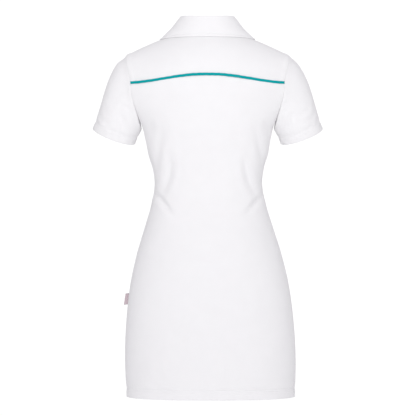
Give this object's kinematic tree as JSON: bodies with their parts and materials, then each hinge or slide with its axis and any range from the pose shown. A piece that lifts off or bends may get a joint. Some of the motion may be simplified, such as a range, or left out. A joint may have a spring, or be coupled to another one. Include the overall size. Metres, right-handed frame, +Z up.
{
  "type": "polo dress",
  "caption": "Fitted short-sleeved dress with a folded polo collar, button placket and piped back yoke, in its worn hollow form.",
  "frame": {"origin": "midway between the two points where the shoulder seams meet the neckline, where the garment hangs on the shoulders", "axes": "+Z up, -Y to the front of the garment, +X to the garment's own left side"},
  "size_m": [0.556, 0.2595, 0.9193],
  "materials": {
    "dress_knit": "smooth fine white cotton knit, matte",
    "collar_knit": "the same white knit in two layers, topstitched",
    "piping": "teal folded strip, soft sheen",
    "button": "white resin, low gloss",
    "label_tape": "rose grey woven tape, blank"
  },
  "bodies": {
    "root": {"back_panel": "dress_knit", "back_yoke": "dress_knit", "front_panel": "dress_knit", "sleeve_left": "dress_knit", "sleeve_right": "dress_knit", "collar_stand": "collar_knit", "collar_fall": "collar_knit", "placket_over": "dress_knit", "placket_under": "dress_knit", "yoke_piping": "piping", "button_1": "button", "button_2": "button", "button_3": "button", "side_label": "label_tape"}
  },
  "joints": []
}
